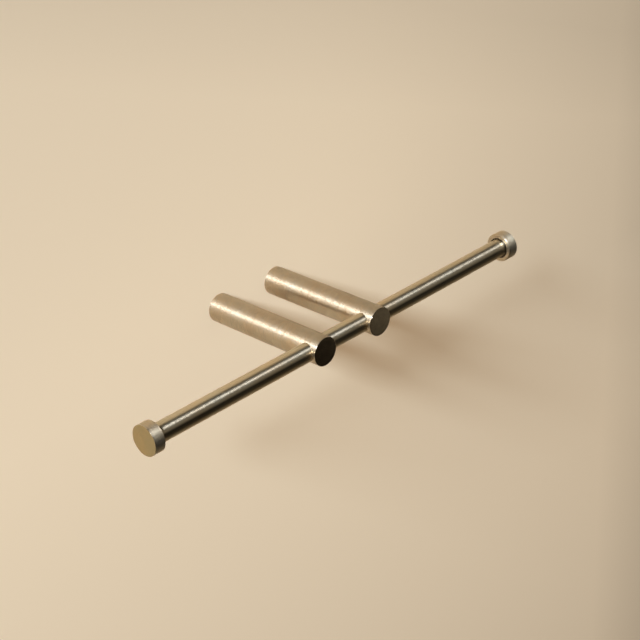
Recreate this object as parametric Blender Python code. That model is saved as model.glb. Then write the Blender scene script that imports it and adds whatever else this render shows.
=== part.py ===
"""Double toilet roll holder for a wall: two round posts on hidden brackets carry one round bar with end discs.

Units are metres and +Z is up. The wall's surface is the plane Y = 0, the room is on its -Y side, and the origin
lies midway between the posts. The bar runs along X, through both posts, just behind their flat noses.
"""

import math

import bmesh
import bpy
from mathutils import Matrix

MM = 0.001

# Driving dimensions
POST_RADIUS = 9.5 * MM
POST_WALL = 1.5 * MM
POST_SPACING = 49.7 * MM
POST_PROJECTION = 93.0 * MM
BAR_RADIUS = 6.15 * MM
BAR_WALL = 1.5 * MM
BAR_FROM_WALL = 84.7 * MM
OVERALL_LENGTH = 325.3 * MM
CAP_RADIUS = 9.75 * MM
CAP_THICKNESS = 7.9 * MM
GAP = 0.3 * MM  # clearance left between any two pieces that touch on the real object
EDGE = 0.3 * MM  # small chamfer on a turned edge
HIDDEN_EDGE = 0.6 * MM  # lead-in chamfer on a piece that slides into another

# Nose plugs
NOSE_FLANGE = 1.7 * MM
NOSE_BODY_LENGTH = 20.6 * MM

# End caps
CAP_FACE_WALL = 3.4 * MM
CAP_RELIEF_WIDTH = 0.9 * MM
CAP_RELIEF_DEPTH = 3.0 * MM
CAP_INNER_BEVEL = 0.7 * MM
STUD_RADIUS = 2.5 * MM
STUD_DEPTH_IN_CAP = 2.0 * MM
STUD_LENGTH = 12.0 * MM
END_PLUG_LENGTH = 14.0 * MM

# Wall brackets and what holds them
BRACKET_LENGTH = 14.0 * MM
GROOVE_CENTRE = 9.5 * MM
GROOVE_DEPTH = 1.2 * MM
GROOVE_HALF_WIDTH = 2.6 * MM
SCREW_RADIUS = 2.0 * MM
SCREW_LENGTH = 40.0 * MM
SCREW_HEAD_RADIUS = 3.9 * MM
SCREW_HEAD_TOP = 6.5 * MM
SCREW_TIP_LENGTH = 5.0 * MM
COUNTERBORE_RADIUS = 4.5 * MM
COUNTERSINK_START = 4.3 * MM
CROSS_RECESS_LENGTH = 4.2 * MM
CROSS_RECESS_WIDTH = 1.0 * MM
CROSS_RECESS_DEPTH = 1.8 * MM
SCREW_HEAD_LAND = 0.2 * MM  # the cylindrical rim of the countersunk head
WALL_PLUG_RADIUS = 4.0 * MM
WALL_PLUG_LENGTH = 35.0 * MM
WALL_PLUG_RECESS = 2.5 * MM
WALL_PLUG_RIB = 0.25 * MM
WALL_PLUG_RIBS = 4
RIB_ROOT = 0.35  # where each rib's root and crest lie, as shares of the rib pitch
RIB_CREST = 0.85
WALL_PLUG_END_CHAMFER = 1.2 * MM
WALL_PLUG_SLOT_WIDTH = 1.0 * MM
WALL_PLUG_SLOT_START = 12.0 * MM

# M4 hex socket grub screws
GRUB_RADIUS = 2.0 * MM
GRUB_SET_BACK = 0.15 * MM  # how far its socket end sits inside the post's surface
HEX_ACROSS_FLATS = 2.0 * MM
HEX_DEPTH = 1.2 * MM
LOCK_TIP_RADIUS = 1.3 * MM
GROOVE_TIP_RADIUS = 1.0 * MM

# Facets round each turned piece
LARGE_SEGMENTS = 40
BAR_SEGMENTS = 32
SMALL_SEGMENTS = 16
HEX_SIDES = 6

# How far a cutter runs past the surface that it opens
OVERRUN = 2.0 * MM

MERGE_DISTANCE = 0.001 * MM
SHARP_ANGLE = math.radians(30)
QUARTER_TURN = math.radians(90)
HALF_TURN = math.radians(180)

SIDES = (("left", -1), ("right", 1))

# Base colour, roughness and metallic value of each finish
FINISHES = {
    "brushed_nickel": ((0.62, 0.56, 0.46, 1.0), 0.24, 1.0),
    "bright_nickel": ((0.66, 0.60, 0.51, 1.0), 0.20, 1.0),
    "bracket_steel": ((0.52, 0.51, 0.49, 1.0), 0.38, 1.0),
    "black_steel": ((0.06, 0.06, 0.065, 1.0), 0.42, 1.0),
    "zinc_steel": ((0.60, 0.61, 0.62, 1.0), 0.34, 1.0),
    "grey_nylon": ((0.42, 0.43, 0.44, 1.0), 0.55, 0.0),
}

# Rotations that turn a piece's own +Z into the direction named
OUT_OF_WALL = Matrix.Rotation(QUARTER_TURN, 4, "X")
DOWNWARD = Matrix.Rotation(HALF_TURN, 4, "X")


def along_bar(sign):
    """The rotation that turns +Z into +X for sign 1, or -X for sign -1."""
    return Matrix.Rotation(QUARTER_TURN * sign, 4, "Y")


def clear_scene():
    for old in list(bpy.data.objects):
        bpy.data.objects.remove(old)


def finish_material(name):
    """The Principled material of this finish, made once."""
    found = bpy.data.materials.get(name)
    if found:
        return found
    colour, roughness, metallic = FINISHES[name]
    made = bpy.data.materials.new(name)
    made.use_nodes = True
    shader = made.node_tree.nodes["Principled BSDF"]
    shader.inputs["Base Color"].default_value = colour
    shader.inputs["Roughness"].default_value = roughness
    shader.inputs["Metallic"].default_value = metallic
    made.diffuse_color = colour
    return made


def add_object(name, mesh, place):
    made = bpy.data.objects.new(name, mesh)
    bpy.context.scene.collection.objects.link(made)
    made.matrix_world = place
    return made


def lathe_mesh(name, profile, segments):
    """A closed mesh from (radius, height) points spun about Z. A profile that starts and ends on the axis is
    solid, and any other profile is a ring whose last point joins its first."""
    solid = profile[0][0] == 0.0 and profile[-1][0] == 0.0
    shape = bmesh.new()
    points = [shape.verts.new((radius, 0.0, height)) for radius, height in profile]
    runs = list(zip(points, points[1:]))
    if not solid:
        runs.append((points[-1], points[0]))
    edges = [shape.edges.new(run) for run in runs]
    bmesh.ops.spin(
        shape,
        geom=points + edges,
        cent=(0.0, 0.0, 0.0),
        axis=(0.0, 0.0, 1.0),
        angle=math.tau,
        steps=segments,
    )
    bmesh.ops.remove_doubles(shape, verts=shape.verts, dist=MERGE_DISTANCE)
    bmesh.ops.recalc_face_normals(shape, faces=shape.faces)
    mesh = bpy.data.meshes.new(name)
    shape.to_mesh(mesh)
    shape.free()
    mesh.shade_smooth()
    mesh.set_sharp_from_angle(angle=SHARP_ANGLE)
    return mesh


def turned(name, profile, segments, place, finish):
    mesh = lathe_mesh(name, profile, segments)
    mesh.materials.append(finish_material(finish))
    return add_object(name, mesh, place)


def hide_cutter(cutter):
    cutter.hide_render = True
    cutter.display_type = "WIRE"
    return cutter


def round_cutter(name, radius, low, high, segments, place):
    """A cylinder about its own Z, from low to high."""
    profile = [(0.0, low), (radius, low), (radius, high), (0.0, high)]
    return hide_cutter(add_object(name, lathe_mesh(name, profile, segments), place))


def hex_cutter(name, across_flats, low, high, place):
    """A hexagonal bar about its own Z, from low to high."""
    corner = across_flats / math.sqrt(3)
    return round_cutter(name, corner, low, high, HEX_SIDES, place)


def box_cutter(name, size, centre, place):
    shape = bmesh.new()
    bmesh.ops.create_cube(shape, size=1.0)
    bmesh.ops.scale(shape, vec=size, verts=shape.verts)
    bmesh.ops.translate(shape, vec=centre, verts=shape.verts)
    mesh = bpy.data.meshes.new(name)
    shape.to_mesh(mesh)
    shape.free()
    return hide_cutter(add_object(name, mesh, place))


def cut(piece, cutter):
    modifier = piece.modifiers.new("cut_" + cutter.name, "BOOLEAN")
    modifier.operation = "DIFFERENCE"
    modifier.solver = "EXACT"
    modifier.object = cutter


def cut_bar_hole(piece, name, sign):
    """Opens the piece right across, where the bar runs through it."""
    reach = POST_RADIUS + OVERRUN
    place = bar_crossing(sign)
    cut(piece, round_cutter(name, BAR_RADIUS + GAP, -reach, reach, BAR_SEGMENTS, place))


def cut_grub_hole(piece, name, start, place):
    """Opens the underside of the piece for a grub screw, from this distance below the post's axis outwards."""
    reach = POST_RADIUS + OVERRUN
    cut(piece, round_cutter(name, GRUB_RADIUS + GAP, start, reach, SMALL_SEGMENTS, place))


def post_place(sign):
    """A post's own frame: its origin on the wall's surface, +Z out of the wall."""
    return Matrix.Translation((sign * POST_SPACING / 2, 0.0, 0.0)) @ OUT_OF_WALL


def under_post(sign, from_wall):
    """A frame on the post's axis at this distance from the wall, with +Z pointing down."""
    return Matrix.Translation((sign * POST_SPACING / 2, -from_wall, 0.0)) @ DOWNWARD


def bar_crossing(sign):
    """A frame where the bar crosses the post's axis, with +Z along the bar."""
    return Matrix.Translation((sign * POST_SPACING / 2, -BAR_FROM_WALL, 0.0)) @ along_bar(1)


def bar_end(sign):
    """A frame at the outer face of an end cap, with +Z pointing back towards the posts."""
    return Matrix.Translation((sign * OVERALL_LENGTH / 2, -BAR_FROM_WALL, 0.0)) @ along_bar(-sign)


def make_post(side, sign):
    inner = POST_RADIUS - POST_WALL
    front = POST_PROJECTION - NOSE_FLANGE - GAP
    profile = [
        (inner, 0.0),
        (inner, front),
        (POST_RADIUS, front),
        (POST_RADIUS, EDGE),
        (POST_RADIUS - EDGE, 0.0),
    ]
    post = turned("post_" + side, profile, LARGE_SEGMENTS, post_place(sign), "brushed_nickel")
    cut_bar_hole(post, "bar_hole_" + side, sign)
    for use, from_wall in (("bracket", GROOVE_CENTRE), ("lock", BAR_FROM_WALL)):
        name = use + "_screw_hole_" + side
        cut_grub_hole(post, name, inner - OVERRUN, under_post(sign, from_wall))


def make_nose_plug(side, sign):
    body = POST_RADIUS - POST_WALL - GAP
    back = POST_PROJECTION - NOSE_FLANGE - NOSE_BODY_LENGTH
    shoulder = POST_PROJECTION - NOSE_FLANGE
    profile = [
        (0.0, back),
        (body - HIDDEN_EDGE, back),
        (body, back + HIDDEN_EDGE),
        (body, shoulder),
        (POST_RADIUS, shoulder),
        (POST_RADIUS, POST_PROJECTION - EDGE),
        (POST_RADIUS - EDGE, POST_PROJECTION),
        (0.0, POST_PROJECTION),
    ]
    plug = turned("nose_plug_" + side, profile, LARGE_SEGMENTS, post_place(sign), "bright_nickel")
    cut_bar_hole(plug, "plug_bore_" + side, sign)
    place = under_post(sign, BAR_FROM_WALL)
    cut_grub_hole(plug, "plug_screw_hole_" + side, BAR_RADIUS - OVERRUN, place)


def make_crossbar():
    half = OVERALL_LENGTH / 2 - CAP_FACE_WALL - GAP
    inner = BAR_RADIUS - BAR_WALL
    profile = [
        (inner, -half),
        (inner, half),
        (BAR_RADIUS - EDGE, half),
        (BAR_RADIUS, half - EDGE),
        (BAR_RADIUS, -half + EDGE),
        (BAR_RADIUS - EDGE, -half),
    ]
    place = Matrix.Translation((0.0, -BAR_FROM_WALL, 0.0)) @ along_bar(1)
    turned("crossbar", profile, BAR_SEGMENTS, place, "brushed_nickel")


def make_end_cap(side, sign):
    socket = BAR_RADIUS + GAP
    relief = BAR_RADIUS + CAP_RELIEF_WIDTH
    stud_hole = STUD_RADIUS + GAP
    stud_floor = CAP_FACE_WALL - STUD_DEPTH_IN_CAP
    profile = [
        (0.0, 0.0),
        (CAP_RADIUS - EDGE, 0.0),
        (CAP_RADIUS, EDGE),
        (CAP_RADIUS, CAP_THICKNESS - CAP_INNER_BEVEL),
        (CAP_RADIUS - CAP_INNER_BEVEL, CAP_THICKNESS),
        (relief, CAP_THICKNESS),
        (relief, CAP_THICKNESS - CAP_RELIEF_DEPTH),
        (socket, CAP_THICKNESS - CAP_RELIEF_DEPTH),
        (socket, CAP_FACE_WALL),
        (stud_hole, CAP_FACE_WALL),
        (stud_hole, stud_floor),
        (0.0, stud_floor),
    ]
    turned("end_cap_" + side, profile, LARGE_SEGMENTS, bar_end(sign), "bright_nickel")


def make_bar_end_plug(side, sign):
    outer = BAR_RADIUS - BAR_WALL - GAP
    inner = STUD_RADIUS + GAP
    start = CAP_FACE_WALL + GAP
    end = start + END_PLUG_LENGTH
    profile = [
        (inner, start),
        (outer, start),
        (outer, end - HIDDEN_EDGE),
        (outer - HIDDEN_EDGE, end),
        (inner, end),
    ]
    turned("bar_end_plug_" + side, profile, SMALL_SEGMENTS, bar_end(sign), "bracket_steel")


def make_cap_stud(side, sign):
    start = CAP_FACE_WALL - STUD_DEPTH_IN_CAP + GAP
    end = start + STUD_LENGTH
    profile = [
        (0.0, start),
        (STUD_RADIUS - EDGE, start),
        (STUD_RADIUS, start + EDGE),
        (STUD_RADIUS, end - EDGE),
        (STUD_RADIUS - EDGE, end),
        (0.0, end),
    ]
    turned("cap_stud_" + side, profile, SMALL_SEGMENTS, bar_end(sign), "zinc_steel")


def make_wall_bracket(side, sign):
    outer = POST_RADIUS - POST_WALL - GAP
    hole = SCREW_RADIUS + GAP
    flat = GROOVE_HALF_WIDTH - GROOVE_DEPTH
    profile = [
        (hole, 0.0),
        (hole, COUNTERSINK_START),
        (COUNTERBORE_RADIUS, COUNTERSINK_START + COUNTERBORE_RADIUS - hole),
        (COUNTERBORE_RADIUS, BRACKET_LENGTH),
        (outer - HIDDEN_EDGE, BRACKET_LENGTH),
        (outer, BRACKET_LENGTH - HIDDEN_EDGE),
        (outer, GROOVE_CENTRE + GROOVE_HALF_WIDTH),
        (outer - GROOVE_DEPTH, GROOVE_CENTRE + flat),
        (outer - GROOVE_DEPTH, GROOVE_CENTRE - flat),
        (outer, GROOVE_CENTRE - GROOVE_HALF_WIDTH),
        (outer, 0.0),
    ]
    turned("wall_bracket_" + side, profile, LARGE_SEGMENTS, post_place(sign), "bracket_steel")


def make_wall_screw(side, sign):
    tip = SCREW_HEAD_TOP - SCREW_LENGTH
    rim = SCREW_HEAD_TOP - SCREW_HEAD_LAND
    profile = [
        (0.0, tip),
        (SCREW_RADIUS, tip + SCREW_TIP_LENGTH),
        (SCREW_RADIUS, rim - (SCREW_HEAD_RADIUS - SCREW_RADIUS)),
        (SCREW_HEAD_RADIUS, rim),
        (SCREW_HEAD_RADIUS, SCREW_HEAD_TOP),
        (0.0, SCREW_HEAD_TOP),
    ]
    screw = turned("wall_screw_" + side, profile, SMALL_SEGMENTS, post_place(sign), "zinc_steel")
    height = 2 * CROSS_RECESS_DEPTH
    centre = (0.0, 0.0, SCREW_HEAD_TOP)
    for arm, size in (
        ("across", (CROSS_RECESS_LENGTH, CROSS_RECESS_WIDTH, height)),
        ("upright", (CROSS_RECESS_WIDTH, CROSS_RECESS_LENGTH, height)),
    ):
        cut(screw, box_cutter("recess_" + arm + "_" + side, size, centre, post_place(sign)))


def make_wall_plug(side, sign):
    inner = SCREW_RADIUS + GAP
    mouth = -WALL_PLUG_RECESS
    end = mouth - WALL_PLUG_LENGTH
    pitch = (WALL_PLUG_LENGTH - WALL_PLUG_SLOT_START) / WALL_PLUG_RIBS
    profile = [(inner, mouth), (inner, end), (WALL_PLUG_RADIUS - WALL_PLUG_END_CHAMFER, end)]
    for rib in range(WALL_PLUG_RIBS):
        root = end + rib * pitch
        profile.append((WALL_PLUG_RADIUS - WALL_PLUG_RIB, root + RIB_ROOT * pitch))
        profile.append((WALL_PLUG_RADIUS + WALL_PLUG_RIB, root + RIB_CREST * pitch))
    profile.append((WALL_PLUG_RADIUS, end + WALL_PLUG_RIBS * pitch))
    profile.append((WALL_PLUG_RADIUS, mouth))
    plug = turned("wall_plug_" + side, profile, SMALL_SEGMENTS, post_place(sign), "grey_nylon")
    slot_start = mouth - WALL_PLUG_SLOT_START
    slot_end = end - OVERRUN
    size = (4 * WALL_PLUG_RADIUS, WALL_PLUG_SLOT_WIDTH, slot_start - slot_end)
    centre = (0.0, 0.0, (slot_start + slot_end) / 2)
    cut(plug, box_cutter("plug_slot_" + side, size, centre, post_place(sign)))


def make_grub_screw(name, tip, tip_radius, place):
    """An M4 grub screw under a post, from its tip's distance below the post's axis to just inside the surface."""
    end = POST_RADIUS - GRUB_SET_BACK
    taper = GRUB_RADIUS - tip_radius
    profile = [
        (0.0, tip),
        (tip_radius, tip),
        (GRUB_RADIUS, tip + taper),
        (GRUB_RADIUS, end - EDGE),
        (GRUB_RADIUS - EDGE, end),
        (0.0, end),
    ]
    screw = turned(name, profile, SMALL_SEGMENTS, place, "black_steel")
    floor = end - HEX_DEPTH
    cut(screw, hex_cutter("socket_" + name, HEX_ACROSS_FLATS, floor, end + OVERRUN, place))


def make_grub_screws(side, sign):
    groove_floor = POST_RADIUS - POST_WALL - GAP - GROOVE_DEPTH
    make_grub_screw(
        "bracket_grub_screw_" + side,
        groove_floor + GAP,
        GROOVE_TIP_RADIUS,
        under_post(sign, GROOVE_CENTRE),
    )
    make_grub_screw(
        "bar_lock_screw_" + side,
        BAR_RADIUS + GAP,
        LOCK_TIP_RADIUS,
        under_post(sign, BAR_FROM_WALL),
    )


def main():
    clear_scene()
    make_crossbar()
    for side, sign in SIDES:
        make_post(side, sign)
        make_nose_plug(side, sign)
        make_end_cap(side, sign)
        make_bar_end_plug(side, sign)
        make_cap_stud(side, sign)
        make_wall_bracket(side, sign)
        make_wall_screw(side, sign)
        make_wall_plug(side, sign)
        make_grub_screws(side, sign)


main()
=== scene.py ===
"""Looks of the double toilet roll holder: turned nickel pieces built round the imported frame.

Units are metres. The wall's surface is the plane Y = 0, the room is on its -Y side and +Z is up.
"""

import math

import bmesh
import bpy
from mathutils import Matrix, Vector


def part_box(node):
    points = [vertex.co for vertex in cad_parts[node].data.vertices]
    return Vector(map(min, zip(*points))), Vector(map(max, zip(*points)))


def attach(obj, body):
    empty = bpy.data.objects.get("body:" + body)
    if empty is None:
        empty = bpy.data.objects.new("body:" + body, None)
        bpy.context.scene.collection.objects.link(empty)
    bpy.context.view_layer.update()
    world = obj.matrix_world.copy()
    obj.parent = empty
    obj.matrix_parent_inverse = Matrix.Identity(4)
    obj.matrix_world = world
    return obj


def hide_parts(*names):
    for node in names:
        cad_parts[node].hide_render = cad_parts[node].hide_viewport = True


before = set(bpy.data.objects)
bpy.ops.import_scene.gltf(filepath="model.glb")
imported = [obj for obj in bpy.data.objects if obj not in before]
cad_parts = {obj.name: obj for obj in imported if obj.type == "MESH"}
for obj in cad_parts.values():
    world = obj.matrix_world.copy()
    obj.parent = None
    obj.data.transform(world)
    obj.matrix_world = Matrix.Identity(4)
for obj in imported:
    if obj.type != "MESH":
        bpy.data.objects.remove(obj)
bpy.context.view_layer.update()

MM = 0.001
SIDES = (("left", -1), ("right", 1))

# Camera, aimed at the middle of the bar and shifted sideways and up from there
CAMERA_AZIMUTH = math.radians(-45.31)
CAMERA_ELEVATION = math.radians(27.82)
CAMERA_ROLL = math.radians(-2.69)
CAMERA_DISTANCE = 0.98967
CAMERA_SIDEWAYS = -0.014425
CAMERA_UPWARD = 0.007638
CAMERA_LENS = 90.285
CAMERA_SENSOR = 36.0

# Fits between pieces, finer than the gaps that the CAD model keeps
SEAM = 0.03 * MM
SCREW_CLEARANCE = 0.3 * MM

# How finely the turned pieces are drawn: segments round them, steps in a rounding, steps in a thread's pitch
FINE = 192
MEDIUM = 128
SMALL = 64
ARC_STEPS = 5
PITCH_STEPS = 8
SUPPORT = 0.15 * MM  # where the flat beside a rounding starts to shade as a flat
SHARP_ANGLE = math.radians(35)
END_FACING = 0.8  # a normal with more of it than this along the piece's axis is that of an end face
OVERSHOOT = 2 * MM  # how far a cutter reaches past the surface that it cuts

# Hidden sizes, which the frame's boxes don't show
POST_WALL = 1.5 * MM
BAR_WALL = 1.5 * MM
NOSE_FLANGE = 1.7 * MM
HOLE_LIP = 0.25 * MM
CAP_FACE_WALL = 3.4 * MM
CAP_RELIEF_WIDTH = 0.9 * MM
CAP_RELIEF_DEPTH = 3.0 * MM
CAP_INNER_BEVEL = 0.7 * MM
CAP_STUD_FLOOR = 1.4 * MM
INSERT_START = CAP_FACE_WALL + 0.3 * MM
INSERT_RING_PITCH = 1.4 * MM
INSERT_RING_DEPTH = 0.12 * MM
STUD_START = CAP_STUD_FLOOR + 0.3 * MM
STUD_RADIUS = 2.5 * MM
SCREW_RADIUS = 2.0 * MM
SCREW_HEAD_RADIUS = 3.9 * MM
SCREW_HEAD_EDGE = 0.2 * MM
SCREW_POINT = 5 * MM
CROSS_LENGTH = 4.2 * MM
CROSS_WIDTH = 1.0 * MM
CROSS_DEPTH = 1.8 * MM
COUNTERBORE_RADIUS = 4.5 * MM
COUNTERSINK_START = 4.3 * MM
GROOVE_CENTRE = 9.5 * MM
GROOVE_DEPTH = 1.2 * MM
GROOVE_HALF_WIDTH = 2.6 * MM
PLUG_RADIUS = 4.0 * MM
PLUG_PLAIN_NECK = 11 * MM
PLUG_RIB_PITCH = 2.6 * MM
PLUG_RIB_HEIGHT = 0.5 * MM
PLUG_FIN_HEIGHT = 0.9 * MM
PLUG_FIN_HALF_ANGLE = math.radians(7)
PLUG_SLOT_WIDTH = 0.9 * MM
PLUG_SLOT_LENGTH = 22 * MM
GRUB_RADIUS = 2.0 * MM
HEX_ACROSS_FLATS = 2.0 * MM
HEX_DEPTH = 1.2 * MM

# Threads: pitch and depth
STUD_THREAD = (0.8 * MM, 0.42 * MM)
GRUB_THREAD = (0.7 * MM, 0.36 * MM)
WOOD_THREAD = (1.8 * MM, 0.55 * MM)

# Metals: colour, roughness of the smooth and of the rough lines, anisotropy, dark streaks and dull clouds
METALS = {
    "brushed_nickel_post": ((0.715, 0.613, 0.46), 0.23, 0.68, 0.86, 0.08, 1.0),
    "brushed_nickel_bar": ((0.70, 0.61, 0.44), 0.28, 0.39, 0.97, 0.10, 1.0),
    "bright_nickel_cap": ((0.665, 0.58, 0.425), 0.31, 0.84, 0.87, 0.25, 1.0),
    # painted shade: a darker, warmer copy of the cap's nickel for its outer face
    "painted_shade_nickel_face": ((0.46, 0.375, 0.21), 0.26, 0.44, 0.0, 0.2, 1.0),
    "bright_nickel_ring": ((0.62, 0.545, 0.41), 0.30, 0.50, 0.0, 0.4, 1.0),
    # painted shade: a dark nickel for the inside of a cap's relief, where shade falls
    "painted_shade_recess": ((0.20, 0.16, 0.11), 0.40, 0.60, 0.0, 0.4, 1.0),
    "bright_nickel_nose": ((0.693, 0.6039, 0.44), 0.06, 0.17, 0.0, 0.2, 5.0),
    "turned_steel": ((0.52, 0.51, 0.49), 0.30, 0.50, 0.70, 0.4, 1.0),
    "zinc_plate": ((0.62, 0.64, 0.66), 0.26, 0.44, 0.30, 0.2, 1.0),
    "black_oxide": ((0.06, 0.06, 0.065), 0.35, 0.52, 0.20, 0.3, 1.0),
}
NYLON_GREY = (0.36, 0.37, 0.38)

# Room and lights
WALL_SIZE = 12.0
FLOOR_SIZE = 60.0
FLOOR_HEIGHT = -0.65
WALL_COLOUR = (0.783, 0.714, 0.526, 1.0)
# painted light: the wall's glow stands in for the warm light that the room bounces onto it
WALL_PAINTED_ROOM_LIGHT = (0.325, 0.210, 0.118, 1.0)
FLOOR_COLOUR = (0.11, 0.10, 0.09, 1.0)
FLOOR_GLOW = (0.52, 0.485, 0.43, 1.0)
SEEN_BACKGROUND = (0.60, 0.56, 0.50, 1.0)
COOL_WHITE = (0.84, 0.89, 1.0)
WARM_WHITE = (1.0, 0.96, 0.90)
TOWARDS_WALL_KEY = Vector((-0.79, -0.265, 0.545))
TOWARDS_SOFTBOX = Vector((-0.735, -0.365, 0.61))
TOWARDS_BACK_FILL = Vector((0.3, 0.8, 0.5))
BLACK = (0.0, 0.0, 0.0, 1.0)


# ---------------------------------------------------------------- readings from the frame


def corners(node):
    low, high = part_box(node)
    return Vector(low), Vector(high)


def middle(node):
    low, high = corners(node)
    return (low + high) / 2


def half_height(node):
    low, high = corners(node)
    return (high.z - low.z) / 2


POST_RADIUS = half_height("post_left")
POST_FRONT = -corners("nose_plug_left")[0].y
PLUG_BACK = -corners("nose_plug_left")[1].y
BAR_RADIUS = half_height("crossbar")
BAR_FROM_WALL = -middle("crossbar").y
CAP_RADIUS = half_height("end_cap_left")
CAP_THICKNESS = (corners("end_cap_left")[1] - corners("end_cap_left")[0]).x
BRACKET_LENGTH = -corners("wall_bracket_left")[0].y
SCREW_HEAD_TOP = -corners("wall_screw_left")[0].y
SCREW_TIP = -corners("wall_screw_left")[1].y
PLUG_MOUTH = -corners("wall_plug_left")[0].y
PLUG_END = -corners("wall_plug_left")[1].y

OUT_OF_WALL = Matrix.Rotation(math.radians(90), 4, "X")
DOWNWARD = Matrix.Rotation(math.radians(180), 4, "X")


def along_bar(sign):
    return Matrix.Rotation(math.radians(90) * sign, 4, "Y")


def post_place(side):
    """A post's own frame: its origin on the wall's surface, +Z out of the wall."""
    return Matrix.Translation((middle("post_" + side).x, 0.0, 0.0)) @ OUT_OF_WALL


def bar_end(side, sign):
    """A frame at the outer face of an end cap, with +Z pointing back towards the posts."""
    low, high = corners("end_cap_" + side)
    outer = low.x if sign < 0 else high.x
    return Matrix.Translation((outer, -BAR_FROM_WALL, 0.0)) @ along_bar(-sign)


def crossing(side):
    """A frame where the bar crosses this post's axis, with +Z along the bar."""
    return Matrix.Translation((middle("post_" + side).x, -BAR_FROM_WALL, 0.0)) @ along_bar(1)


def under(node):
    """A frame on the post's axis above this grub screw, with +Z pointing down."""
    centre = middle(node)
    return Matrix.Translation((centre.x, centre.y, 0.0)) @ DOWNWARD


# ---------------------------------------------------------------- materials


def add_node(tree, kind, inputs=None, **settings):
    made = tree.nodes.new("ShaderNode" + kind)
    for name, value in settings.items():
        setattr(made, name, value)
    for key, value in (inputs or {}).items():
        if isinstance(value, bpy.types.NodeSocket):
            tree.links.new(value, made.inputs[key])
        else:
            made.inputs[key].default_value = value
    return made


def calc(tree, operation, first, second=0.0):
    return add_node(tree, "Math", {0: first, 1: second}, operation=operation).outputs[0]


def weighted(tree, first, first_share, second, second_share):
    one = calc(tree, "MULTIPLY", first, first_share)
    other = calc(tree, "MULTIPLY", second, second_share)
    return calc(tree, "ADD", one, other)


def spread(tree, value, low, high, start=0.0, stop=1.0):
    """Maps start to stop onto low to high, and holds the ends beyond."""
    inputs = {"Value": value, "From Min": start, "From Max": stop, "To Min": low, "To Max": high}
    return add_node(tree, "MapRange", inputs).outputs["Result"]


def blend(tree, share, first, second):
    """Mixes two colours. The Mix node has them as inputs 6 and 7, and their mixture as output 2."""
    return add_node(tree, "Mix", {0: share, 6: first, 7: second}, data_type="RGBA").outputs[2]


def tint(colour, factors=(1.0, 1.0, 1.0)):
    return tuple(channel * factor for channel, factor in zip(colour, factors)) + (1.0,)


def new_material(name):
    made = bpy.data.materials.new(name)
    made.use_nodes = True
    tree = made.node_tree
    return made, tree, tree.nodes["Principled BSDF"]


def turned_metal(name, colour, smooth_line, rough_line, anisotropy, streaks, clouding):
    """A metal brushed round each piece's own Z axis: fine rings on its sides, circles on its faces.

    Polished lines and scratched lines lie side by side, and each kind has its own roughness.
    """
    made, tree, shader = new_material(name)
    local = add_node(tree, "TexCoord").outputs["Object"]
    split = add_node(tree, "SeparateXYZ", {0: local})
    x, y, z = split.outputs
    flat = add_node(tree, "CombineXYZ", {0: x, 1: y}).outputs[0]
    radius = add_node(tree, "VectorMath", {0: flat}, operation="LENGTH").outputs["Value"]
    # This changes both along a side and across a face, so that both of them get rings
    along = add_node(tree, "Math", {0: radius, 1: 1.37, 2: z}, operation="MULTIPLY_ADD").outputs[0]

    def ring_noise(around, across, detail):
        parts = {0: calc(tree, "MULTIPLY", x, around), 1: calc(tree, "MULTIPLY", y, around)}
        parts[2] = calc(tree, "MULTIPLY", along, across)
        place = add_node(tree, "CombineXYZ", parts).outputs[0]
        inputs = {"Vector": place, "Scale": 1.0, "Detail": detail, "Roughness": 0.6}
        return add_node(tree, "TexNoise", inputs).outputs["Fac"]

    def cloud_noise(scale):
        inputs = {"Vector": local, "Scale": scale, "Detail": 4.0, "Roughness": 0.55}
        return add_node(tree, "TexNoise", inputs).outputs["Fac"]

    hair = ring_noise(around=90.0, across=20000.0, detail=0.0)
    brush = ring_noise(around=45.0, across=4500.0, detail=1.0)
    cloud = cloud_noise(scale=55.0)
    mottle = cloud_noise(scale=340.0)
    wear = add_node(tree, "Attribute", attribute_name="wear").outputs["Fac"]

    tinge = weighted(tree, cloud_noise(scale=38.0), 0.8, mottle, 0.2)
    warm = tint(colour, (1.035, 0.98, 0.93))
    cool = tint(colour, (0.975, 1.005, 1.035))
    base = blend(tree, spread(tree, tinge, 0.0, 1.0, start=0.40, stop=0.60), warm, cool)
    dark_line = calc(tree, "MULTIPLY", spread(tree, brush, 0.0, 1.0, start=0.38, stop=0.68), streaks)
    lined = blend(tree, dark_line, base, tint(colour, (0.5, 0.5, 0.5)))
    large_spots = spread(tree, cloud, 0.0, 0.14, start=0.4, stop=0.8)
    small_spots = spread(tree, mottle, 0.0, 0.07, start=0.45, stop=0.7)
    tarnish = calc(tree, "MULTIPLY", calc(tree, "ADD", large_spots, small_spots), clouding)
    clouded = blend(tree, tarnish, lined, tint(colour, (0.5, 0.47, 0.42)))
    edged = blend(tree, calc(tree, "MULTIPLY", wear, 0.35), clouded, tint(colour, (1.12, 1.12, 1.12)))
    tree.links.new(edged, shader.inputs["Base Color"])

    rough = spread(tree, hair, smooth_line, rough_line, start=0.38, stop=0.62)
    rough = calc(tree, "ADD", rough, spread(tree, cloud, -0.015, 0.015))
    rough = calc(tree, "SUBTRACT", rough, calc(tree, "MULTIPLY", wear, 0.04))
    tree.links.new(rough, shader.inputs["Roughness"])

    relief = weighted(tree, hair, 0.25, brush, 0.5)
    bump = add_node(tree, "Bump", {"Height": relief, "Strength": 0.5, "Distance": 0.001 * MM})
    tree.links.new(bump.outputs["Normal"], shader.inputs["Normal"])
    tangent = add_node(tree, "Tangent", direction_type="RADIAL", axis="Z")
    tree.links.new(tangent.outputs[0], shader.inputs["Tangent"])
    shader.inputs["Metallic"].default_value = 1.0
    shader.inputs["Anisotropic"].default_value = anisotropy
    shader.inputs["Anisotropic Rotation"].default_value = 0.25  # a quarter of a turn
    return made


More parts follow.
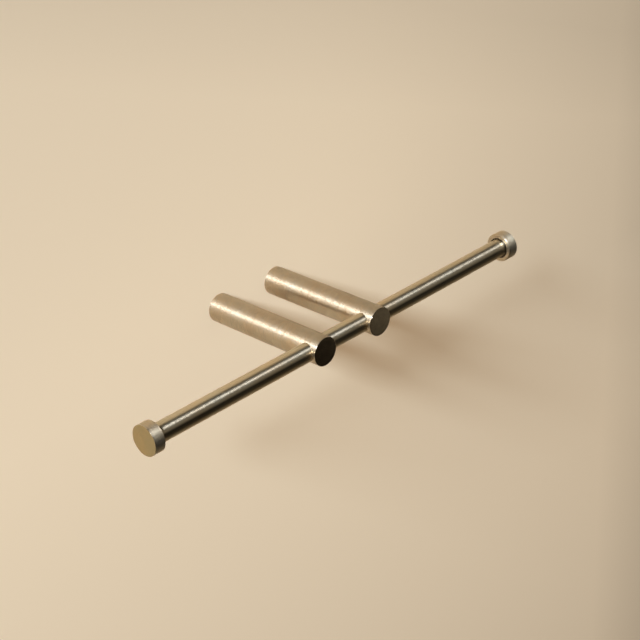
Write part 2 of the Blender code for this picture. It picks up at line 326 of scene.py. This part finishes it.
def nylon(name, colour):
    """Moulded nylon with a fine matt skin and faint clouds."""
    made, tree, shader = new_material(name)
    local = add_node(tree, "TexCoord").outputs["Object"]
    skin_inputs = {"Vector": local, "Scale": 2600.0, "Detail": 3.0}
    skin = add_node(tree, "TexNoise", skin_inputs).outputs["Fac"]
    cloud_inputs = {"Vector": local, "Scale": 160.0, "Detail": 3.0}
    cloud = add_node(tree, "TexNoise", cloud_inputs).outputs["Fac"]
    wear = add_node(tree, "Attribute", attribute_name="wear").outputs["Fac"]
    toned = blend(tree, spread(tree, cloud, 0.0, 0.5), tint(colour), tint(colour, (0.78, 0.78, 0.78)))
    edged = blend(tree, calc(tree, "MULTIPLY", wear, 0.4), toned, tint(colour, (1.35, 1.35, 1.35)))
    tree.links.new(edged, shader.inputs["Base Color"])
    tree.links.new(spread(tree, skin, 0.42, 0.66), shader.inputs["Roughness"])
    bump = add_node(tree, "Bump", {"Height": skin, "Strength": 0.4, "Distance": 0.02 * MM})
    tree.links.new(bump.outputs["Normal"], shader.inputs["Normal"])
    return made


# ---------------------------------------------------------------- objects and turned meshes


def placed(name, data, place):
    """A new object with this data in this place."""
    made = bpy.data.objects.new(name, data)
    bpy.context.scene.collection.objects.link(made)
    made.matrix_world = place
    return made


def as_mesh(name, shape):
    """Turns the bmesh into a mesh and frees it."""
    mesh = bpy.data.meshes.new(name)
    shape.to_mesh(mesh)
    shape.free()
    return mesh


def outline(points, ring=False, spacing=None):
    """The (radius, height, wear) points of a turned outline from its (radius, height, rounding) corners."""
    made = []
    count = len(points)
    for index, (radius, height, rounding) in enumerate(points):
        here = Vector((radius, height))
        at_end = not ring and index in (0, count - 1)
        if at_end or rounding == 0.0:
            made.append((radius, height, 0.0))
            continue
        before = (Vector(points[index - 1][:2]) - here).normalized()
        after = (Vector(points[(index + 1) % count][:2]) - here).normalized()
        half = before.angle(after) / 2
        reach = rounding / math.tan(half)
        centre = here + (before + after).normalized() * rounding / math.sin(half)
        start = here + before * reach
        end = here + after * reach
        first = (start - centre) / rounding
        last = (end - centre) / rounding
        turn = first.angle(last)
        lead_in = start + before * SUPPORT
        made.append((lead_in.x, lead_in.y, 0.0))
        for step in range(ARC_STEPS + 1):
            share = step / ARC_STEPS
            spoke = (first * math.sin((1 - share) * turn) + last * math.sin(share * turn)) / math.sin(turn)
            spot = centre + spoke * rounding
            made.append((spot.x, spot.y, 1.0))
        lead_out = end + after * SUPPORT
        made.append((lead_out.x, lead_out.y, 0.0))
    if spacing:
        made = divided(made, spacing)
    return made


def divided(points, spacing):
    """The same outline with points added so that none are further apart than this spacing."""
    made = [points[0]]
    for before, after in zip(points, points[1:]):
        steps = max(1, math.ceil(math.dist(before[:2], after[:2]) / spacing))
        for step in range(1, steps + 1):
            share = step / steps
            made.append(tuple(a + (b - a) * share for a, b in zip(before, after)))
    return made


def lathe(name, points, segments, place, material, ring=False, spacing=None, shape=None):
    """A piece turned about its own Z. shape(radius, height, angle) may give other radii, as a thread does."""
    profile = outline(points, ring, spacing)
    vertices = []
    wear = []
    rows = []
    for radius, height, worn in profile:
        steps = 1 if radius == 0.0 else segments
        rows.append(range(len(vertices), len(vertices) + steps))
        for step in range(steps):
            angle = math.tau * step / segments
            reach = shape(radius, height, angle) if shape and radius else radius
            vertices.append((reach * math.cos(angle), reach * math.sin(angle), height))
            wear.append(worn)
    faces = []
    pairs = list(zip(rows, rows[1:]))
    if ring:
        pairs.append((rows[-1], rows[0]))
    for low, high in pairs:
        for step in range(segments):
            after = (step + 1) % segments
            spots = ((low, step), (low, after), (high, after), (high, step))
            face = list(dict.fromkeys(row[spot % len(row)] for row, spot in spots))
            if len(face) > 2:
                faces.append(face)
    mesh = bpy.data.meshes.new(name)
    mesh.from_pydata(vertices, [], faces)
    mesh.attributes.new("wear", "FLOAT", "POINT").data.foreach_set("value", wear)
    shape_data = bmesh.new()
    shape_data.from_mesh(mesh)
    bmesh.ops.recalc_face_normals(shape_data, faces=shape_data.faces)
    shape_data.to_mesh(mesh)
    shape_data.free()
    if material:
        mesh.materials.append(material)
    smooth(mesh)
    return placed(name, mesh, place)


def paint(piece, material, chosen):
    """Gives this material to the faces that chosen(face) picks."""
    slot = len(piece.data.materials)
    piece.data.materials.append(material)
    for face in piece.data.polygons:
        if chosen(face):
            face.material_index = slot


def smooth(mesh):
    """Shades the mesh smooth between its sharp edges."""
    mesh.shade_smooth()
    mesh.set_sharp_from_angle(angle=SHARP_ANGLE)


def block(name, size, centre, place):
    """A cutter in the shape of a box."""
    shape = bmesh.new()
    bmesh.ops.create_cube(shape, size=1.0)
    bmesh.ops.scale(shape, vec=size, verts=shape.verts)
    bmesh.ops.translate(shape, vec=centre, verts=shape.verts)
    return placed(name, as_mesh(name, shape), place)


def cut(piece, cutter):
    """Takes the cutter's shape out of the piece for good, and removes the cutter."""
    modifier = piece.modifiers.new("cut", "BOOLEAN")
    modifier.operation = "DIFFERENCE"
    modifier.solver = "EXACT"
    modifier.object = cutter
    bpy.context.view_layer.update()
    graph = bpy.context.evaluated_depsgraph_get()
    mesh = bpy.data.meshes.new_from_object(piece.evaluated_get(graph))
    piece.modifiers.clear()
    piece.data = mesh
    smooth(mesh)
    bpy.data.objects.remove(cutter)


def thread(pitch, depth, start, stop):
    """A lathe shape that cuts a V thread between two heights."""

    def shape(radius, height, angle):
        turn = height / pitch - angle / math.tau
        groove = abs(2.0 * (turn - math.floor(turn)) - 1.0)
        fade_in = min(1.0, max(0.0, (height - start) / pitch))
        fade_out = min(1.0, max(0.0, (stop - height) / pitch))
        return radius - depth * groove * fade_in * fade_out

    return shape


def threaded(name, points, place, material, sizes, start, stop):
    """A turned screw with a thread of this pitch and depth between two heights."""
    pitch, depth = sizes
    shape = thread(pitch, depth, start, stop)
    return lathe(name, points, SMALL, place, material, spacing=pitch / PITCH_STEPS, shape=shape)


def own(piece, slot, *nodes):
    """The piece rides with the object and stands for these CAD nodes. The slot argument is not used."""
    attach(piece, "root")
    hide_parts(*nodes)


# ---------------------------------------------------------------- pieces


def screw_hole(name, place, depth):
    """A cutter for a grub screw's hole under a post, with a small countersink at the surface."""
    hole = GRUB_RADIUS + SEAM
    surface = POST_RADIUS - HOLE_LIP
    points = [
        (0.0, depth, 0.0),
        (hole, depth, 0.0),
        (hole, surface, 0.0),
        (hole + 2 * HOLE_LIP, surface + 2 * HOLE_LIP, 0.0),
        (hole + 2 * HOLE_LIP, POST_RADIUS + OVERSHOOT, 0.0),
        (0.0, POST_RADIUS + OVERSHOOT, 0.0),
    ]
    return lathe(name, points, SMALL, place, None)


def cross(name, top, place):
    """A cutter for a screw's cross recess, whose bottom is CROSS_DEPTH below the top of the head."""
    half, slim = CROSS_LENGTH / 2, CROSS_WIDTH / 2
    arm = [(half, -slim), (half, slim), (slim, slim)]
    ring = []
    for _ in range(4):
        ring += arm
        arm = [(-y, x) for x, y in arm]
    count = len(ring)
    vertices = [(x, y, height) for height in (top - CROSS_DEPTH, top + OVERSHOOT) for x, y in ring]
    faces = [list(range(count))[::-1], list(range(count, 2 * count))]
    for step in range(count):
        after = (step + 1) % count
        faces.append((step, after, after + count, step + count))
    mesh = bpy.data.meshes.new(name)
    mesh.from_pydata(vertices, [], faces)
    return placed(name, mesh, place)


def bore(name, place):
    """A cutter for the hole that the bar runs through."""
    reach = POST_RADIUS + OVERSHOOT
    hole = BAR_RADIUS + SEAM
    points = [(0.0, -reach, 0.0), (hole, -reach, 0.0), (hole, reach, 0.0), (0.0, reach, 0.0)]
    return lathe(name, points, MEDIUM, place, None)


def make_post(side, material):
    """The tube, open at both ends, with a hole for the bar through it and two screw holes underneath."""
    inner = POST_RADIUS - POST_WALL
    seam = POST_FRONT - NOSE_FLANGE - SEAM
    points = [
        (inner, 0.0, 0.1 * MM),
        (inner, seam, 0.1 * MM),
        (POST_RADIUS, seam, 0.03 * MM),
        (POST_RADIUS, 0.0, 0.25 * MM),
    ]
    post = lathe("post_tube_" + side, points, FINE, post_place(side), material, ring=True)
    cut(post, bore("bore", crossing(side)))
    for node in ("bracket_grub_screw_" + side, "bar_lock_screw_" + side):
        cut(post, screw_hole("hole", under(node), inner - OVERSHOOT))
    post.visible_diffuse = False  # keeps the glare of a post's side off the wall
    own(post, "brushed_nickel", "post_" + side)


def make_nose(side, material, flat_material):
    """The plug that closes a post. Its flat front has a material of its own."""
    inner = POST_RADIUS - POST_WALL - SEAM
    shoulder = POST_FRONT - NOSE_FLANGE
    points = [
        (0.0, PLUG_BACK, 0.0),
        (inner, PLUG_BACK, 0.6 * MM),
        (inner, shoulder, 0.0),
        (POST_RADIUS, shoulder, 0.03 * MM),
        (POST_RADIUS, POST_FRONT, 0.3 * MM),
        (0.0, POST_FRONT, 0.0),
    ]
    place = post_place(side)
    nose = lathe("nose_disc_" + side, points, FINE, place, material)
    paint(nose, flat_material, lambda face: face.normal.z > END_FACING)
    cut(nose, bore("bore", crossing(side)))
    cut(nose, screw_hole("hole", under("bar_lock_screw_" + side), BAR_RADIUS - OVERSHOOT))
    own(nose, "bright_nickel", "nose_plug_" + side)


def make_bar(material):
    """The tube that runs through both posts, from one end cap to the other."""
    low, high = corners("crossbar")
    half = (high.x - low.x) / 2
    inner = BAR_RADIUS - BAR_WALL
    points = [
        (inner, -half, 0.1 * MM),
        (inner, half, 0.1 * MM),
        (BAR_RADIUS, half, 0.3 * MM),
        (BAR_RADIUS, -half, 0.3 * MM),
    ]
    place = Matrix.Translation((0.0, -BAR_FROM_WALL, 0.0)) @ along_bar(1)
    bar = lathe("bar_tube", points, FINE, place, material, ring=True)
    own(bar, "brushed_nickel", "crossbar")


def make_cap(side, sign, material, flat_material, ring_material, painted_shade_material):
    """The disc that keeps a roll on, with its bevelled inner rim and the relief round the bar, darkened with
    painted shade.
    """
    socket = BAR_RADIUS + SEAM
    relief = BAR_RADIUS + CAP_RELIEF_WIDTH
    stud_hole = STUD_RADIUS + SEAM
    relief_floor = CAP_THICKNESS - CAP_RELIEF_DEPTH
    points = [
        (0.0, 0.0, 0.0),
        (CAP_RADIUS, 0.0, 0.12 * MM),
        (CAP_RADIUS, CAP_THICKNESS - CAP_INNER_BEVEL, 0.08 * MM),
        (CAP_RADIUS - CAP_INNER_BEVEL, CAP_THICKNESS, 0.08 * MM),
        (relief, CAP_THICKNESS, 0.08 * MM),
        (relief, relief_floor, 0.1 * MM),
        (socket, relief_floor, 0.08 * MM),
        (socket, CAP_FACE_WALL, 0.2 * MM),
        (stud_hole, CAP_FACE_WALL, 0.1 * MM),
        (stud_hole, CAP_STUD_FLOOR, 0.1 * MM),
        (0.0, CAP_STUD_FLOOR, 0.0),
    ]
    place = bar_end(side, sign)
    cap = lathe("end_stop_" + side, points, FINE, place, material)
    recess = relief + 0.1 * MM

    def in_painted_shade(face):
        return face.center.z > CAP_STUD_FLOOR and face.center.xy.length < recess

    # The outer face takes a darker copy of the cap's nickel: painted shade
    paint(cap, flat_material, lambda face: face.normal.z < -END_FACING)
    paint(cap, ring_material, lambda face: face.normal.z > END_FACING)
    # Everything inside the relief round the bar gets a dark nickel: painted shade in the recess
    paint(cap, painted_shade_material, in_painted_shade)
    own(cap, "bright_nickel", "end_cap_" + side)


def make_insert(side, sign, material):
    """The turned plug inside the bar's end, with a ringed grip."""
    low, high = corners("bar_end_plug_" + side)
    start = INSERT_START
    end = start + (high.x - low.x)
    outer = BAR_RADIUS - BAR_WALL - SEAM
    inner = STUD_RADIUS + SEAM

    def grip(radius, height, angle):
        if radius < outer - 0.01 * MM:  # its roundings and its hole stay plain
            return radius
        groove = math.sin(math.tau * (height - start) / INSERT_RING_PITCH)
        return radius - INSERT_RING_DEPTH * max(0.0, groove)

    points = [
        (inner, start, 0.2 * MM),
        (outer, start, 0.3 * MM),
        (outer, end, 0.6 * MM),
        (inner, end, 0.2 * MM),
    ]
    place = bar_end(side, sign)
    name = "tube_insert_" + side
    insert = lathe(name, points, SMALL, place, material, ring=True, spacing=0.15 * MM, shape=grip)
    own(insert, "bracket_steel", "bar_end_plug_" + side)


def make_stud(side, sign, material):
    """The threaded rod that joins an end cap to the plug in the bar's end."""
    low, high = corners("cap_stud_" + side)
    start = STUD_START
    end = start + (high.x - low.x)
    points = [
        (0.0, start, 0.0),
        (STUD_RADIUS, start, 0.35 * MM),
        (STUD_RADIUS, end, 0.35 * MM),
        (0.0, end, 0.0),
    ]
    stud = threaded("threaded_stud_" + side, points, bar_end(side, sign), material, STUD_THREAD, start, end)
    own(stud, "zinc_steel", "cap_stud_" + side)


def make_bracket(side, material):
    """The boss on the wall inside a post, with a countersunk hole and a groove for the post's grub screw."""
    outer = POST_RADIUS - POST_WALL - SEAM
    hole = SCREW_RADIUS + SCREW_CLEARANCE
    slope = COUNTERBORE_RADIUS - hole
    flat = GROOVE_HALF_WIDTH - GROOVE_DEPTH
    points = [
        (hole, 0.0, 0.2 * MM),
        (hole, COUNTERSINK_START, 0.1 * MM),
        (COUNTERBORE_RADIUS, COUNTERSINK_START + slope, 0.1 * MM),
        (COUNTERBORE_RADIUS, BRACKET_LENGTH, 0.2 * MM),
        (outer, BRACKET_LENGTH, 0.5 * MM),
        (outer, GROOVE_CENTRE + GROOVE_HALF_WIDTH, 0.1 * MM),
        (outer - GROOVE_DEPTH, GROOVE_CENTRE + flat, 0.1 * MM),
        (outer - GROOVE_DEPTH, GROOVE_CENTRE - flat, 0.1 * MM),
        (outer, GROOVE_CENTRE - GROOVE_HALF_WIDTH, 0.1 * MM),
        (outer, 0.0, 0.3 * MM),
    ]
    boss = lathe("wall_boss_" + side, points, MEDIUM, post_place(side), material, ring=True)
    own(boss, "bracket_steel", "wall_bracket_" + side)


def make_wood_screw(side, material):
    """The countersunk screw that holds a bracket to the wall, with a cross recess in its head."""
    rim = SCREW_HEAD_TOP - SCREW_HEAD_EDGE
    neck = rim - (SCREW_HEAD_RADIUS - SCREW_RADIUS)
    points = [
        (0.0, SCREW_TIP, 0.0),
        (SCREW_RADIUS, SCREW_TIP + SCREW_POINT, 0.5 * MM),
        (SCREW_RADIUS, neck, 0.4 * MM),
        (SCREW_HEAD_RADIUS, rim, 0.05 * MM),
        (SCREW_HEAD_RADIUS, SCREW_HEAD_TOP, 0.05 * MM),
        (0.0, SCREW_HEAD_TOP, 0.0),
    ]
    place = post_place(side)
    start = SCREW_TIP + 0.2 * MM
    stop = PLUG_MOUTH + 1.8 * MM
    screw = threaded("wood_screw_" + side, points, place, material, WOOD_THREAD, start, stop)
    cut(screw, cross("recess", SCREW_HEAD_TOP, place))
    own(screw, "zinc_steel", "wall_screw_" + side)


def make_split_plug(side, material):
    """The nylon plug in the wall: ribs on its deep half, two fins nearer its mouth and a slot through it."""
    inner = SCREW_RADIUS + SEAM
    ribs_start = PLUG_END + 1.5 * MM
    ribs_end = PLUG_MOUTH - PLUG_PLAIN_NECK
    fins_start = ribs_end + 1 * MM
    fins_slope = 3 * MM
    fins_end = PLUG_MOUTH - 2 * MM

    def barbed(radius, height, angle):
        if radius < PLUG_RADIUS - 0.3 * MM:  # its hole stays plain
            return radius
        reach = radius
        if ribs_start < height < ribs_end:
            tooth = (height - ribs_start) / PLUG_RIB_PITCH
            reach += PLUG_RIB_HEIGHT * (tooth - math.floor(tooth) - 0.5)
        from_fin = min(abs(angle - math.pi / 2), abs(angle - 3 * math.pi / 2))
        fade = min(1.0, max(0.0, (height - fins_start) / fins_slope))
        if from_fin < PLUG_FIN_HALF_ANGLE and height < fins_end:
            reach += PLUG_FIN_HEIGHT * fade
        return reach

    points = [
        (inner, PLUG_MOUTH, 0.3 * MM),
        (inner, PLUG_END, 0.2 * MM),
        (PLUG_RADIUS, PLUG_END, 0.9 * MM),
        (PLUG_RADIUS, PLUG_MOUTH, 0.3 * MM),
    ]
    place = post_place(side)
    name = "split_plug_" + side
    plug = lathe(name, points, MEDIUM, place, material, ring=True, spacing=0.26 * MM, shape=barbed)
    across = 2 * (PLUG_RADIUS + PLUG_FIN_HEIGHT + OVERSHOOT)
    size = (across, PLUG_SLOT_WIDTH, PLUG_SLOT_LENGTH + OVERSHOOT)
    centre = (0.0, 0.0, PLUG_END + (PLUG_SLOT_LENGTH - OVERSHOOT) / 2)
    cut(plug, block("slot", size, centre, place))
    own(plug, "grey_nylon", "wall_plug_" + side)


def make_hex_screw(node, name, tip_radius, material):
    """A grub screw with a hex socket, pointing up into a post from below."""
    low, high = corners(node)
    tip = -high.z
    end = -low.z
    points = [
        (0.0, tip, 0.0),
        (tip_radius, tip, 0.05 * MM),
        (GRUB_RADIUS, tip + GRUB_RADIUS - tip_radius, 0.05 * MM),
        (GRUB_RADIUS, end, 0.22 * MM),
        (0.0, end, 0.0),
    ]
    place = under(node)
    screw = threaded(name, points, place, material, GRUB_THREAD, tip + 0.3 * MM, end - 0.2 * MM)
    corner = HEX_ACROSS_FLATS / math.sqrt(3)
    floor = end - HEX_DEPTH
    cone = 0.35 * MM
    socket_points = [
        (0.0, floor - cone, 0.0),
        (corner, floor, 0.0),
        (corner, end + OVERSHOOT, 0.0),
        (0.0, end + OVERSHOOT, 0.0),
    ]
    cut(screw, lathe("socket", socket_points, 6, place, None))
    own(screw, "black_steel", node)


def make_pieces():
    metals = {name: turned_metal(name, *values) for name, values in METALS.items()}
    post_metal = metals["brushed_nickel_post"]
    steel = metals["turned_steel"]
    zinc = metals["zinc_plate"]
    black = metals["black_oxide"]
    cap_parts = ("bright_nickel_cap", "painted_shade_nickel_face", "bright_nickel_ring", "painted_shade_recess")
    plastic = nylon("moulded_nylon", NYLON_GREY)

    make_bar(metals["brushed_nickel_bar"])
    for side, sign in SIDES:
        make_post(side, post_metal)
        make_nose(side, post_metal, metals["bright_nickel_nose"])
        make_cap(side, sign, *(metals[name] for name in cap_parts))
        make_insert(side, sign, steel)
        make_stud(side, sign, zinc)
        make_bracket(side, steel)
        make_wood_screw(side, zinc)
        make_split_plug(side, plastic)
        make_hex_screw("bracket_grub_screw_" + side, "hex_screw_wall_" + side, 1.0 * MM, black)
        make_hex_screw("bar_lock_screw_" + side, "hex_screw_nose_" + side, 1.3 * MM, black)


# ---------------------------------------------------------------- camera, room and lights


def make_camera():
    back = Vector(
        (
            math.sin(CAMERA_AZIMUTH) * math.cos(CAMERA_ELEVATION),
            -math.cos(CAMERA_AZIMUTH) * math.cos(CAMERA_ELEVATION),
            math.sin(CAMERA_ELEVATION),
        )
    )
    level = Vector((0.0, 0.0, 1.0)).cross(back).normalized()
    upright = back.cross(level)
    right = level * math.cos(CAMERA_ROLL) + upright * math.sin(CAMERA_ROLL)
    up = upright * math.cos(CAMERA_ROLL) - level * math.sin(CAMERA_ROLL)
    target = Vector((0.0, -BAR_FROM_WALL, 0.0))
    eye = target + back * CAMERA_DISTANCE + right * CAMERA_SIDEWAYS + up * CAMERA_UPWARD
    data = bpy.data.cameras.new("camera")
    data.lens = CAMERA_LENS
    data.sensor_width = CAMERA_SENSOR
    turn = Matrix((right, up, back)).transposed().to_4x4()
    bpy.context.scene.camera = placed("camera", data, Matrix.Translation(eye) @ turn)


def plane(name, size, place, material):
    """A square of the room, which isn't part of the object."""
    shape = bmesh.new()
    bmesh.ops.create_grid(shape, x_segments=1, y_segments=1, size=size / 2)
    mesh = as_mesh(name, shape)
    mesh.materials.append(material)
    made = placed(name, mesh, place)
    return made


def wall_paint_and_painted_light():
    """Cream paint with a painted pool of light and a painted glow of warm room light. It is clear from
    behind, so that it doesn't hide the object's back.
    """
    made, tree, shader = new_material("wall_paint_and_painted_light")
    local = add_node(tree, "TexCoord").outputs["Object"]
    grain = add_node(tree, "TexNoise", {"Vector": local, "Scale": 420.0, "Detail": 4.0}).outputs["Fac"]
    bump = add_node(tree, "Bump", {"Height": grain, "Strength": 0.15, "Distance": 0.15 * MM})
    tree.links.new(bump.outputs["Normal"], shader.inputs["Normal"])

    # Near the object the painted light falls off slowly: up and down, and to the right of the pool's edge
    pool_edge = 0.03
    split = add_node(tree, "SeparateXYZ", {0: local})
    right, up = split.outputs[0], split.outputs[1]
    past_edge = calc(tree, "MAXIMUM", calc(tree, "SUBTRACT", right, pool_edge), 0.0)
    steepness = spread(tree, up, 0.20, 0.57, start=-0.30, stop=-0.12)
    sideways = calc(tree, "MULTIPLY", past_edge, steepness)
    upwards = add_node(tree, "Math", {0: up, 1: 0.44, 2: 0.012}, operation="MULTIPLY_ADD").outputs[0]
    offset = add_node(tree, "CombineXYZ", {0: sideways, 1: upwards}).outputs[0]
    slow_fall = add_node(tree, "VectorMath", {0: offset}, operation="LENGTH").outputs["Value"]
    pool = calc(tree, "SUBTRACT", 1.0, slow_fall)

    # Further out the painted light falls off faster. Each row has a direction, the share of painted light
    # left, and the fall's ends
    diagonal = calc(tree, "ADD", right, calc(tree, "MULTIPLY", up, 3.0))
    for direction, left_over, start, stop in (
        (up, 0.12, 0.38, 0.64),
        (right, 0.35, 0.42, 0.75),
        (diagonal, 0.89, 0.40, 0.62),
    ):
        pool = calc(tree, "MULTIPLY", pool, spread(tree, direction, 1.0, left_over, start, stop))
    pool = calc(tree, "MAXIMUM", pool, 0.05)
    # The pool scales both the paint's colour and its glow: painted light
    tree.links.new(blend(tree, pool, BLACK, WALL_COLOUR), shader.inputs["Base Color"])
    tree.links.new(pool, shader.inputs["Emission Strength"])
    shader.inputs["Roughness"].default_value = 0.85
    shader.inputs["Specular IOR Level"].default_value = 0.15
    shader.inputs["Emission Color"].default_value = WALL_PAINTED_ROOM_LIGHT

    behind = add_node(tree, "NewGeometry").outputs["Backfacing"]
    clear = add_node(tree, "BsdfTransparent").outputs[0]
    mixed = add_node(tree, "MixShader", {0: behind, 1: shader.outputs[0], 2: clear})
    tree.links.new(mixed.outputs[0], tree.nodes["Material Output"].inputs["Surface"])
    return made


def floor_paint():
    """Dark paint with a pale glow of its own, so that the key light doesn't overexpose the floor."""
    made, _, shader = new_material("floor_paint")
    shader.inputs["Base Color"].default_value = FLOOR_COLOUR
    shader.inputs["Roughness"].default_value = 0.9
    shader.inputs["Specular IOR Level"].default_value = 0.0
    shader.inputs["Emission Color"].default_value = FLOOR_GLOW
    shader.inputs["Emission Strength"].default_value = 1.0
    return made


def make_room():
    plane("backdrop_wall", WALL_SIZE, OUT_OF_WALL, wall_paint_and_painted_light())
    floor = plane("floor", FLOOR_SIZE, Matrix.Translation((0.0, 0.0, FLOOR_HEIGHT)), floor_paint())
    floor.visible_glossy = False
    floor.visible_diffuse = False


def area_light(name, towards, distance, size, colour, radiance):
    """A soft light of this radiance, aimed at the object. Its height is turned towards the wall's normal."""
    data = bpy.data.lights.new(name, "AREA")
    data.shape = "RECTANGLE"
    data.size, data.size_y = size
    data.color = colour
    data.energy = radiance * math.pi * size[0] * size[1]
    direction = towards.normalized()
    sideways = Vector((0.0, 1.0, 0.0)).cross(direction).normalized()
    turn = Matrix((sideways, direction.cross(sideways), direction)).transposed().to_4x4()
    return placed(name, data, Matrix.Translation(direction * distance) @ turn)


# The room's brightness by the angle round the bar, in degrees: 0 is into the wall, 90 up, 180 out, 270 down
SKY = (
    (0, (0.45, 0.42, 0.36)),
    (70, (0.30, 0.27, 0.22)),
    (84, (0.07, 0.06, 0.04)),
    (100, (0.05, 0.045, 0.035)),
    (120, (0.10, 0.09, 0.075)),
    (148, (0.175, 0.158, 0.13)),
    (160, (0.19, 0.17, 0.14)),
    (172, (0.15, 0.135, 0.11)),
    (181, (0.03, 0.026, 0.02)),
    (187, (0.005, 0.004, 0.003)),
    (197, (0.0005, 0.0005, 0.0005)),
    (212, (0.001, 0.001, 0.001)),
    (226, (0.018, 0.012, 0.007)),
    (240, (0.10, 0.08, 0.05)),
    (260, (0.21, 0.164, 0.112)),
    (287, (0.34, 0.28, 0.216)),
    (359, (0.45, 0.42, 0.36)),
)

# Two lighter patches in the room, round the angle that the noses reflect. Each row has the sideways parts of
# the directions where the patch begins and is full, how many degrees from that angle it starts to fade and
# ends, and its colour
PATCH_ANGLE = 217
PATCHES = (
    (0.634, 0.647, 4, 11, (0.10, 0.085, 0.065, 1.0)),
    (-0.3, -0.6, 20, 45, (0.045, 0.038, 0.029, 1.0)),
)


def make_world():
    """The room that the metal reflects. The camera itself sees an even pale background."""
    world = bpy.data.worlds.new("room")
    bpy.context.scene.world = world
    world.use_nodes = True
    tree = world.node_tree
    background = tree.nodes["Background"]
    direction = add_node(tree, "TexCoord").outputs["Generated"]
    split = add_node(tree, "SeparateXYZ", {0: direction})
    turn = calc(tree, "ARCTAN2", split.outputs[2], split.outputs[1])
    share = calc(tree, "FRACT", calc(tree, "DIVIDE", turn, math.tau))
    ramp = add_node(tree, "ValToRGB", {0: share})
    stops = ramp.color_ramp.elements
    while len(stops) > 1:
        stops.remove(stops[-1])
    for index, (degrees, colour) in enumerate(SKY):
        stop = stops[0] if index == 0 else stops.new(degrees / 360)
        stop.position = degrees / 360
        stop.color = colour + (1.0,)
    from_centre = calc(tree, "ABSOLUTE", calc(tree, "SUBTRACT", share, PATCH_ANGLE / 360))
    added = BLACK
    for begins, full, core, edge, colour in PATCHES:
        across = spread(tree, split.outputs[0], 0.0, 1.0, begins, full)
        around = spread(tree, from_centre, 1.0, 0.0, core / 360, edge / 360)
        added = blend(tree, calc(tree, "MULTIPLY", across, around), added, colour)
    sum_inputs = {0: 1.0, 6: ramp.outputs[0], 7: added}
    room = add_node(tree, "Mix", sum_inputs, data_type="RGBA", blend_type="ADD").outputs[2]
    seen = add_node(tree, "LightPath").outputs["Is Camera Ray"]
    tree.links.new(blend(tree, seen, room, SEEN_BACKGROUND), background.inputs["Color"])
    background.inputs["Strength"].default_value = 1.0


def make_lights():
    wall_key = area_light("wall_key", TOWARDS_WALL_KEY, 8.0, (1.1, 2.9), COOL_WHITE, radiance=136.0)
    wall_key.visible_glossy = False  # it lights the wall and casts the shadows
    softbox = area_light("softbox", TOWARDS_SOFTBOX, 8.0, (1.2, 1.8), COOL_WHITE, radiance=129.0)
    softbox.visible_diffuse = False  # it only shows as a reflection in the metal
    area_light("back_fill", TOWARDS_BACK_FILL, 2.0, (2.0, 2.0), WARM_WHITE, radiance=1.6)
    bpy.context.scene.view_settings.view_transform = "Standard"


make_camera()
make_pieces()
make_room()
make_world()
make_lights()
